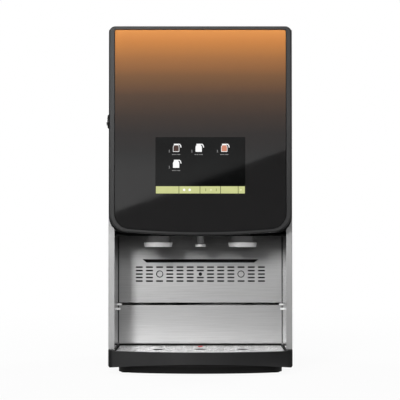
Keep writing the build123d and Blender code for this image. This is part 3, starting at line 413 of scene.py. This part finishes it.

# Finishes of single nodes; several are painted light or shade, as said by each

RING_FINISH = surface("satin_ring", grey(0.88), grey(0.94), (0.30, 0.40), Metallic=0.2)
# A lighter grey than the bells' dark plastic, a painted highlight
BELL_PAINTED_HIGHLIGHT = surface("bell_painted_highlight", grey(0.20), grey(0.25), (0.25, 0.35))
# A lighter, glossier copy of the bay's steel on the side liners, painted light
LINER_PAINTED_LIGHT = brushed("liner_painted_light", grey(0.70), grey(0.78), (0.16, 0.24), ALONG_X)
# White clips that glow though they are no lamp, painted light so that they read bright in the bay's shade
CLIP_PAINTED_GLOW = surface("clip_painted_glow", grey(0.86), grey(0.93), (0.25, 0.35), Emission_Color=(*WHITE, 1.0),
                      Emission_Strength=0.3)
# Matt black darker than the parts' own plastic, painted shade on the plinth under the tray, the bay's
# ceiling and the door's inner cover
PAINTED_SHADE_BLACK = surface("painted_shade_black", *MATT_TONES, (0.5, 0.62), Specular_IOR_Level=0.12)
# Near black on the inner chassis instead of its steel, painted shade seen through the vent slots
CHASSIS_PAINTED_SHADE = surface("chassis_painted_shade", grey(0.012), grey(0.018), (0.45, 0.6))
OWN_FINISH = {
    "inner_chassis": CHASSIS_PAINTED_SHADE,
    "bay_side_left": LINER_PAINTED_LIGHT,
    "bay_side_right": LINER_PAINTED_LIGHT,
    "rear_panel": rear_finish("lined_rear"),
    "panel_clips": CLIP_PAINTED_GLOW,
    "bay_back_upper": dimpled_steel_painted_shade("dimpled_steel_painted_shade"),
    "drip_tray": band_and_painted_shade("tray_band_and_painted_shade"),
    "left_drink_nozzle": BELL_PAINTED_HIGHLIGHT,
    "right_drink_nozzle": BELL_PAINTED_HIGHLIGHT,
    "hot_water_spout": BELL_PAINTED_HIGHLIGHT,
    "left_nozzle_ring": RING_FINISH,
    "right_nozzle_ring": RING_FINISH,
    "spout_tip": RING_FINISH,
    "base_plinth": PAINTED_SHADE_BLACK,
    "bay_ceiling": PAINTED_SHADE_BLACK,
    "door_inner_cover": PAINTED_SHADE_BLACK,
}


def dress_nodes():
    """Each CAD node takes its own finish, or else the material of its slot."""
    for row in frame["record"]["subparts"]:
        mesh = NODES[row["node"]].data
        mesh.materials.clear()
        mesh.materials.append(OWN_FINISH.get(row["node"], MATERIALS[row["material_slot"]]))


# Thin plates

DISC_SIDES = 20


def flat_plate(name, shapes, plane, thickness, materials, body):
    """Thin plates from an X-Z plane towards the front; each outline of points has a material number."""
    mesh = bpy.data.meshes.new(name)
    work = bmesh.new()
    for points, number in shapes:
        face = work.faces.new([work.verts.new((x, plane, z)) for x, z in points])
        face.material_index = number
        face.normal_update()
        if face.normal.y > 0:
            face.normal_flip()
    whole = bmesh.ops.extrude_face_region(work, geom=list(work.faces))
    moved = [item for item in whole["geom"] if isinstance(item, bmesh.types.BMVert)]
    bmesh.ops.translate(work, verts=moved, vec=(0.0, -thickness, 0.0))
    bmesh.ops.recalc_face_normals(work, faces=list(work.faces))
    work.to_mesh(mesh)
    work.free()
    for material in materials:
        mesh.materials.append(material)
    piece = bpy.data.objects.new(name, mesh)
    bpy.context.scene.collection.objects.link(piece)
    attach(piece, body)
    return piece


def rectangle(x0, x1, z0, z1):
    """Corner points of a rectangle."""
    return [(x0, z0), (x1, z0), (x1, z1), (x0, z1)]


def disc(x, z, radius, count=DISC_SIDES):
    """Points on a circle."""
    turns = [2.0 * math.pi * step / count for step in range(count)]
    return [(x + radius * math.cos(turn), z + radius * math.sin(turn)) for turn in turns]


# Lit marks on the display; lengths not multiplied by MM are in millimetres

SCREEN_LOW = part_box("touchscreen")[0]
SCREEN_FRONT = SCREEN_LOW.y
MARK_THICKNESS = 0.12 * MM
MARK_CLOUD = 60.0
MARK_DIM = 0.94


def lamp_surface(name, colour):
    """A lit mark on the display, with a faint unevenness."""
    material, tree, shader = new_material(name)
    cloud = placed_noise(tree, MARK_CLOUD, EVEN, FINE_DETAIL)
    dim = tuple(part * MARK_DIM for part in colour)
    tree.links.new(two_tone(tree, cloud, dim, colour), shader.inputs["Emission Color"])
    set_sockets(shader, {
        "Emission_Strength": 1.0,
        "Base_Color": (*grey(0.02), 1.0),
        "Roughness": 0.3,
        "Specular_IOR_Level": 0.1,
    })
    return material


BAR_HEIGHT = 13.2 * MM
BAR_CELLS = (-82.0, -39.3, -0.7, 37.0, 69.3, 82.0)
BAR_GAP = 0.9
BRIGHT_DOTS = (-29.8, -19.6)
BRIGHT_RADIUS = 2.3 * MM
FAINT_LINES = (9.8, 29.2)
FAINT_HALF_WIDTH = 0.6 * MM
FAINT_HALF_HEIGHT = 2.4 * MM
PALE_DOTS = (19.4, 74.2)
PALE_RADIUS = 1.5 * MM


def menu_bar():
    """The pale bar of cells along the foot of the display."""
    low = SCREEN_LOW.z
    shapes = []
    for left, right in zip(BAR_CELLS, BAR_CELLS[1:]):
        x0 = (left + BAR_GAP / 2) * MM
        x1 = (right - BAR_GAP / 2) * MM
        shapes.append((rectangle(x0, x1, low, low + BAR_HEIGHT), 0))
    lime = lamp_surface("menu_lime", (0.60, 0.63, 0.27))
    flat_plate("menu_bar", shapes, SCREEN_FRONT, MARK_THICKNESS, [lime], "door")


def menu_keys():
    """Dots and lines on the bar."""
    middle = SCREEN_LOW.z + BAR_HEIGHT / 2
    shapes = [(disc(x * MM, middle, BRIGHT_RADIUS), 0) for x in BRIGHT_DOTS]
    for x in FAINT_LINES:
        x0 = x * MM - FAINT_HALF_WIDTH
        x1 = x * MM + FAINT_HALF_WIDTH
        shapes.append((rectangle(x0, x1, middle - FAINT_HALF_HEIGHT, middle + FAINT_HALF_HEIGHT), 1))
    shapes += [(disc(x * MM, middle, PALE_RADIUS), 2) for x in PALE_DOTS]
    materials = [
        lamp_surface("menu_white", (1.0, 1.0, 0.94)),
        lamp_surface("menu_olive", (0.24, 0.26, 0.09)),
        lamp_surface("menu_cream", (0.80, 0.82, 0.5)),
    ]
    flat_plate("menu_keys", shapes, SCREEN_FRONT - MARK_THICKNESS, MARK_THICKNESS, materials, "door")


JUG_BODY = (
    (-6.4, -7.4), (-5.8, -8.2), (5.8, -8.2), (6.4, -7.4), (6.4, 1.6), (5.9, 3.4),
    (4.4, 5.4), (4.6, 8.2), (-4.6, 8.2), (-4.4, 5.4), (-5.9, 3.4), (-6.4, 1.6),
)
JUG_FILL = (
    (-5.5, -6.6), (-5.0, -7.2), (5.0, -7.2), (5.5, -6.6), (5.5, 1.4),
    (5.0, 3.0), (3.6, 5.2), (-3.6, 5.2), (-5.0, 3.0), (-5.5, 1.4),
)
JUG_HANDLE = (
    (4.6, 8.2), (4.6, 6.4), (6.6, 6.2), (8.2, 4.2),
    (9.4, 0.2), (11.0, 0.9), (9.8, 5.6), (7.4, 8.2),
)
JUG_SCALE = 0.9
# Each jug's middle, and its fill: 0 for none, 1 for coffee, 2 for cocoa
JUG_PLACES = ((-44.5, 415.8, 1), (-3.1, 415.8, 0), (43.8, 415.8, 2), (-44.5, 386.4, 0))
FIGURE_SHIFT = (-12.4, -8.2)
FIGURE_STROKES = ((-1.3, 1.3, 0.0, 0.9), (-0.45, 0.45, 0.9, 4.6), (-1.2, -0.45, 3.4, 4.2))
CAPTION_DASHES = ((-7.5, -4.2), (-3.6, -0.6), (0.6, 2.6), (3.2, 7.5))
CAPTION_LOW = -13.0
CAPTION_TOP = -11.6


def shifted(points, x, z, scale=1.0):
    """Outline in millimetres, scaled and moved to its place, in metres."""
    return [((x + scale * px) * MM, (z + scale * pz) * MM) for px, pz in points]


def menu_jugs():
    """Plain jug pictograms, each with a small figure one beside it and a dashed line below."""
    white = lamp_surface("jug_white", WHITE)
    coffee = lamp_surface("jug_coffee", (0.055, 0.022, 0.014))
    cocoa = lamp_surface("jug_cocoa", (0.62, 0.24, 0.15))
    line = lamp_surface("line_grey", grey(0.22))
    shapes = []
    fills = []
    for x, z, fill in JUG_PLACES:
        shapes.append((shifted(JUG_BODY, x, z, JUG_SCALE), 0))
        shapes.append((shifted(JUG_HANDLE, x, z, JUG_SCALE), 0))
        if fill:
            fills.append((shifted(JUG_FILL, x, z, JUG_SCALE), fill - 1))
        for stroke in FIGURE_STROKES:
            shapes.append((shifted(rectangle(*stroke), x + FIGURE_SHIFT[0], z + FIGURE_SHIFT[1]), 1))
        for x0, x1 in CAPTION_DASHES:
            shapes.append((shifted(rectangle(x0, x1, CAPTION_LOW, CAPTION_TOP), x, z), 1))
    flat_plate("menu_jugs", shapes, SCREEN_FRONT, MARK_THICKNESS, [white, line], "door")
    flat_plate("menu_fills", fills, SCREEN_FRONT - MARK_THICKNESS, MARK_THICKNESS, [coffee, cocoa], "door")


# Strips of painted shade and clip tabs in the bay

BAY_BACK = -45.0 * MM
BAY_SIDE = 160.0 * MM
# Strips of painted shade in the corners of the bay, where the back meets the sides
SHADE_STRIP_WIDTH = 1.3 * MM
SHADE_STRIP_TOP = 253.5 * MM
SHADE_STRIP_LOW = 45.0 * MM
TAB_REACH = 6.5 * MM
CLIP_REACH = 3.2 * MM
TAB_THICKNESS = 1.5 * MM
# Name, depth, foot and top of each row of tabs, in millimetres
CLIP_ROWS = (("rear_clip_tabs", -48.5, 119.0, 122.5), ("front_clip_tabs", -90.5, 112.5, 116.0))


def side_pair(outer, inner, low, top):
    """The same rectangle on both sides of the middle."""
    return [(rectangle(-outer, -inner, low, top), 0), (rectangle(inner, outer, low, top), 0)]


def bay_details():
    """Dark strips of painted shade in the corners where the back meets the sides, and the tabs of the
    clips.
    """
    shade_strips = side_pair(BAY_SIDE, BAY_SIDE - SHADE_STRIP_WIDTH, SHADE_STRIP_LOW, SHADE_STRIP_TOP)
    # Painted shade: thin black strips stand in for the shadow in the corners
    corner_shade = surface("corner_painted_shade", grey(0.006), grey(0.010), (0.6, 0.75), Specular_IOR_Level=0.2)
    flat_plate("corner_shade_strips", shade_strips, BAY_BACK, SHADE_STRIP_WIDTH, [corner_shade], "cabinet")
    for name, depth, low, top in CLIP_ROWS:
        tabs = side_pair(BAY_SIDE - CLIP_REACH, BAY_SIDE - TAB_REACH, low * MM, top * MM)
        flat_plate(name, tabs, depth * MM, TAB_THICKNESS, [CLIP_PAINTED_GLOW], "cabinet")


# Screws of the rear panel; lengths not multiplied by MM are in millimetres

REAR_FACE = 210.5 * MM
SCREW_RADIUS = 3.6 * MM
SCREW_HEIGHT = 1.4 * MM
SCREW_SIDES = 24
SCREW_EDGE = 0.5 * MM
SCREW_EDGE_STEPS = 3
CROSS_LONG = 2.1
CROSS_SHORT = 0.45
CROSS_HEIGHT = 0.06 * MM
SCREW_SIDE = 158.0
SCREW_ROWS = (38.0, 230.0, 420.0, 612.0)


def cross_points(long, short):
    """Outline of a cross."""
    return [
        (-long, -short), (-short, -short), (-short, -long), (short, -long),
        (short, -short), (long, -short), (long, short), (short, short),
        (short, long), (-short, long), (-short, short), (-long, short),
    ]


def rear_screws():
    """Low round heads round the edge of the rear panel, each with its cross recess painted as a flat black
    cross of shade.
    """
    heads = []
    marks = []
    for x in (-SCREW_SIDE, SCREW_SIDE):
        for z in SCREW_ROWS:
            heads.append((disc(x * MM, z * MM, SCREW_RADIUS, SCREW_SIDES), 0))
            marks.append((shifted(cross_points(CROSS_LONG, CROSS_SHORT), x, z), 0))
    top = REAR_FACE + SCREW_HEIGHT
    chrome = MATERIALS["bright_chrome"]
    piece = flat_plate("rear_screws", heads, top, SCREW_HEIGHT, [chrome], "cabinet")
    bevel = piece.modifiers.new("edge", "BEVEL")
    bevel.width = SCREW_EDGE
    bevel.segments = SCREW_EDGE_STEPS
    bevel.limit_method = "ANGLE"
    # Painted shade: the cross recesses are flat black marks on the heads, not hollows
    recess = surface("painted_recess_shade", grey(0.008), grey(0.014), (0.6, 0.8))
    flat_plate("screw_recess_shade", marks, top + CROSS_HEIGHT, CROSS_HEIGHT, [recess], "cabinet")


# Camera, in metres

CAMERA_DISTANCE = 2.5
CAMERA_HEIGHT = 0.256
CAMERA_SIDE = -0.0007
CAMERA_REACH = 100.0
DOOR_FRONT = -0.215
PICTURE_WIDTH = 0.733
PICTURE_MIDDLE = 0.320
SENSOR = 36.0


def make_camera():
    """Level with the foot of the door, a little below the middle of the machine."""
    data = bpy.data.cameras.new("camera")
    camera = bpy.data.objects.new("camera", data)
    bpy.context.scene.collection.objects.link(camera)
    camera.location = (CAMERA_SIDE, DOOR_FRONT - CAMERA_DISTANCE, CAMERA_HEIGHT)
    aim = Vector((CAMERA_SIDE, DOOR_FRONT, PICTURE_MIDDLE)) - camera.location
    camera.rotation_euler = aim.to_track_quat("-Z", "Y").to_euler()
    data.sensor_width = SENSOR
    data.lens = SENSOR * aim.length / PICTURE_WIDTH
    data.clip_end = CAMERA_REACH
    bpy.context.scene.camera = camera


# World and floor

AMBIENT = 0.11
FLOOR_SIZE = 40.0
FLOOR_TONE = 0.86
FLOOR_GLOW_SHARE = 0.93
FLOOR_FADE = (0.6, 2.0)


def seen_ray(tree):
    """One for rays from the camera, a mirror or a glass."""
    path = add_node(tree, "ShaderNodeLightPath")
    first = add_node(tree, "ShaderNodeMath", {"operation": "MAXIMUM"})
    second = add_node(tree, "ShaderNodeMath", {"operation": "MAXIMUM"})
    tree.links.new(path.outputs["Is Camera Ray"], first.inputs[0])
    tree.links.new(path.outputs["Is Glossy Ray"], first.inputs[1])
    tree.links.new(first.outputs[0], second.inputs[0])
    tree.links.new(path.outputs["Is Transmission Ray"], second.inputs[1])
    return second.outputs[0]


def make_world():
    """White where it is seen, softer as a light."""
    world = bpy.data.worlds.new("world")
    bpy.context.scene.world = world
    world.use_nodes = True
    tree = world.node_tree
    back = tree.nodes["Background"]
    back.inputs["Color"].default_value = (*WHITE, 1.0)
    ranger = add_node(tree, "ShaderNodeMapRange", To_Min=AMBIENT, To_Max=1.0)
    tree.links.new(seen_ray(tree), ranger.inputs["Value"])
    tree.links.new(ranger.outputs["Result"], back.inputs["Strength"])


def empty_material(name):
    """A material without a shader, with its node tree and its output."""
    material = bpy.data.materials.new(name)
    material.use_nodes = True
    tree = material.node_tree
    tree.nodes.clear()
    return material, tree, add_node(tree, "ShaderNodeOutputMaterial")


def floor_paper():
    """Pale paper that stays near white where it is seen and keeps a soft shadow near the machine."""
    material, tree, out = empty_material("floor_paper")
    paper = add_node(tree, "ShaderNodeBsdfDiffuse", Color=(*grey(FLOOR_TONE), 1.0))
    glow = add_node(tree, "ShaderNodeEmission", Color=(*WHITE, 1.0))
    blend = add_node(tree, "ShaderNodeMixShader")
    place = add_node(tree, "ShaderNodeTexCoord")
    reach = add_node(tree, "ShaderNodeVectorMath", {"operation": "LENGTH"})
    fade = add_node(tree, "ShaderNodeMapRange", From_Min=FLOOR_FADE[0], From_Max=FLOOR_FADE[1],
                    To_Min=FLOOR_GLOW_SHARE, To_Max=1.0)
    share = add_node(tree, "ShaderNodeMath", {"operation": "MULTIPLY"})
    tree.links.new(place.outputs["Object"], reach.inputs[0])
    tree.links.new(reach.outputs["Value"], fade.inputs["Value"])
    tree.links.new(fade.outputs["Result"], share.inputs[1])
    tree.links.new(seen_ray(tree), share.inputs[0])
    tree.links.new(share.outputs[0], blend.inputs["Fac"])
    tree.links.new(paper.outputs[0], blend.inputs[1])
    tree.links.new(glow.outputs[0], blend.inputs[2])
    tree.links.new(blend.outputs[0], out.inputs["Surface"])
    return material


def make_floor():
    """The plain floor under the machine."""
    bpy.ops.mesh.primitive_plane_add(size=FLOOR_SIZE, location=(0.0, 0.0, 0.0))
    floor = bpy.context.object
    floor.name = "floor"
    floor.data.materials.append(floor_paper())


# Lamps: name, azimuth and elevation in degrees, distance, size, power, and whether gloss mirrors it

LAMPS = (
    ("key", -14.3, 14.4, 4.0, (0.42, 0.85), 46.0, True),
    ("over", -10.0, 44.0, 4.0, (1.2, 0.7), 36.0, True),
    ("fill", 13.0, 20.0, 4.0, (0.9, 0.9), 6.0, True),
    ("top", 0.0, 75.0, 3.0, (1.6, 1.6), 20.0, True),
    ("rear_left", -140.0, 30.0, 3.5, (1.4, 1.4), 45.0, False),
    ("rear_right", 140.0, 30.0, 3.5, (1.4, 1.4), 45.0, False),
)


def add_lamp(name, azimuth, elevation, distance, size, power, mirrored):
    """A soft box aimed at the middle of the machine; azimuth counts from the front to the right."""
    data = bpy.data.lights.new(name, "AREA")
    data.shape = "RECTANGLE"
    data.size, data.size_y = size
    data.energy = power
    lamp = bpy.data.objects.new(name, data)
    bpy.context.scene.collection.objects.link(lamp)
    turn = math.radians(azimuth)
    rise = math.radians(elevation)
    target = Vector((0.0, 0.0, PICTURE_MIDDLE))
    way = Vector((math.sin(turn) * math.cos(rise), -math.cos(turn) * math.cos(rise), math.sin(rise)))
    lamp.location = target + distance * way
    lamp.rotation_euler = (-way).to_track_quat("-Z", "Y").to_euler()
    lamp.visible_glossy = mirrored


def make_lamps():
    """A key from the front left, one above it, a fill from the right, one overhead and two from behind."""
    for row in LAMPS:
        add_lamp(*row)


# Cards that only gloss mirrors, in metres

CARD_DEPTH = -4.0
CARD_STEP_BACK = 0.02
CARD_SIDE = 3.0
CARD_LOW = -0.6
CARD_TOP = 1.3
CARD_SKY = 2.0
CARD_ROOF = 6.0
CARD_FADE = 0.4
CARD_STEP = (0.55, 0.66)
PALE_EDGE = ((-0.5, 0.322), (0.5, 0.686))
PALE_TONES = (1.02, 0.9)
PALE_TOP_SHARE = 0.74
DARK_TONES = (0.02, 0.01)
SKY_TONE = 3.0
ROOF_TONE = 0.01
SIDE_SKY = 0.85
SIDE_SKY_TONE = 1.5
FLAG_SIDE = 1.0
FLAG_LENGTH = (-1.8, 3.0)
FLAG_TOP = 1.2
FLAG_TONE = 0.05
FLOOR_CARD_FRONT = -0.26
FLOOR_CARD_RISE = 0.0005
FLOOR_CARD_TONE = 0.02
GROUND_TONE = 0.05
BRIGHT_TONE = 1.8
# Name, left, right, near and far edge, rise and tone
GROUND_CARDS = (
    ("floor_card", -CARD_SIDE, CARD_SIDE, CARD_DEPTH, FLOOR_CARD_FRONT, FLOOR_CARD_RISE, FLOOR_CARD_TONE),
    ("left_ground", -0.8, -0.2, FLOOR_CARD_FRONT, 0.1, FLOOR_CARD_RISE, GROUND_TONE),
    ("right_ground", 0.2, 0.8, FLOOR_CARD_FRONT, 0.1, FLOOR_CARD_RISE, GROUND_TONE),
    ("bright_ground", -0.48, -0.22, -0.6, -0.32, 2 * FLOOR_CARD_RISE, BRIGHT_TONE),
)


def card_glow(name, left_tone, right_tone, top_share):
    """Light that changes from left to right, and to a share of itself above a step in height."""
    material, tree, out = empty_material(name)
    place = add_node(tree, "ShaderNodeTexCoord")
    parts = add_node(tree, "ShaderNodeSeparateXYZ")
    across = add_node(tree, "ShaderNodeMapRange", From_Min=-CARD_FADE, From_Max=CARD_FADE,
                      To_Min=left_tone, To_Max=right_tone)
    rise = add_node(tree, "ShaderNodeMapRange", From_Min=CARD_STEP[0], From_Max=CARD_STEP[1],
                    To_Min=1.0, To_Max=top_share)
    level = add_node(tree, "ShaderNodeMath", {"operation": "MULTIPLY"})
    glow = add_node(tree, "ShaderNodeEmission", Color=(*WHITE, 1.0))
    tree.links.new(place.outputs["Object"], parts.inputs["Vector"])
    tree.links.new(parts.outputs["X"], across.inputs["Value"])
    tree.links.new(parts.outputs["Z"], rise.inputs["Value"])
    tree.links.new(across.outputs["Result"], level.inputs[0])
    tree.links.new(rise.outputs["Result"], level.inputs[1])
    tree.links.new(level.outputs[0], glow.inputs["Strength"])
    tree.links.new(glow.outputs[0], out.inputs["Surface"])
    return material


def add_card(name, corners, left_tone, right_tone, top_share=1.0):
    """A card that only mirrors in the gloss."""
    mesh = bpy.data.meshes.new(name)
    mesh.from_pydata(corners, [], [tuple(range(len(corners)))])
    mesh.materials.append(card_glow(name, left_tone, right_tone, top_share))
    card = bpy.data.objects.new(name, mesh)
    bpy.context.scene.collection.objects.link(card)
    card.visible_camera = False
    card.visible_diffuse = False
    card.visible_shadow = False
    card.visible_transmission = False


def upright(x0, x1, y, z0, z1):
    """Corners of a card that stands across the view."""
    return [(x, y, z) for x, z in rectangle(x0, x1, z0, z1)]


def make_cards():
    """Cards before the machine for its glass, and on the ground and beside it for its steel."""
    (left, left_edge), (right, right_edge) = PALE_EDGE
    pale = [(left, left_edge), (right, right_edge), (right, CARD_TOP), (left, CARD_TOP)]
    add_card("pale_card", [(x, CARD_DEPTH, z) for x, z in pale], *PALE_TONES, PALE_TOP_SHARE)
    back = CARD_DEPTH - CARD_STEP_BACK
    add_card("dark_card", upright(-CARD_SIDE, CARD_SIDE, back, CARD_LOW, CARD_TOP), *DARK_TONES)
    add_card("sky_card", upright(-CARD_SIDE, CARD_SIDE, back, CARD_TOP, CARD_SKY), SKY_TONE, SKY_TONE)
    add_card("roof_card", upright(-CARD_SIDE, CARD_SIDE, back, CARD_SKY, CARD_ROOF), ROOF_TONE, ROOF_TONE)
    for name, x0, x1 in (("left_sky", -CARD_SIDE, left), ("right_sky", right, CARD_SIDE)):
        add_card(name, upright(x0, x1, CARD_DEPTH, SIDE_SKY, CARD_TOP), SIDE_SKY_TONE, SIDE_SKY_TONE)
    for name, x0, x1, y0, y1, rise, tone in GROUND_CARDS:
        add_card(name, [(x, y, rise) for x, y in rectangle(x0, x1, y0, y1)], tone, tone)
    for name, x in (("left_flag", -FLAG_SIDE), ("right_flag", FLAG_SIDE)):
        corners = [(x, y, z) for y, z in rectangle(*FLAG_LENGTH, 0.0, FLAG_TOP)]
        add_card(name, corners, FLAG_TONE, FLAG_TONE)


dress_nodes()
menu_bar()
menu_keys()
menu_jugs()
bay_details()
rear_screws()
make_camera()
make_world()
make_floor()
make_lamps()
make_cards()
bpy.context.scene.view_settings.view_transform = "Standard"
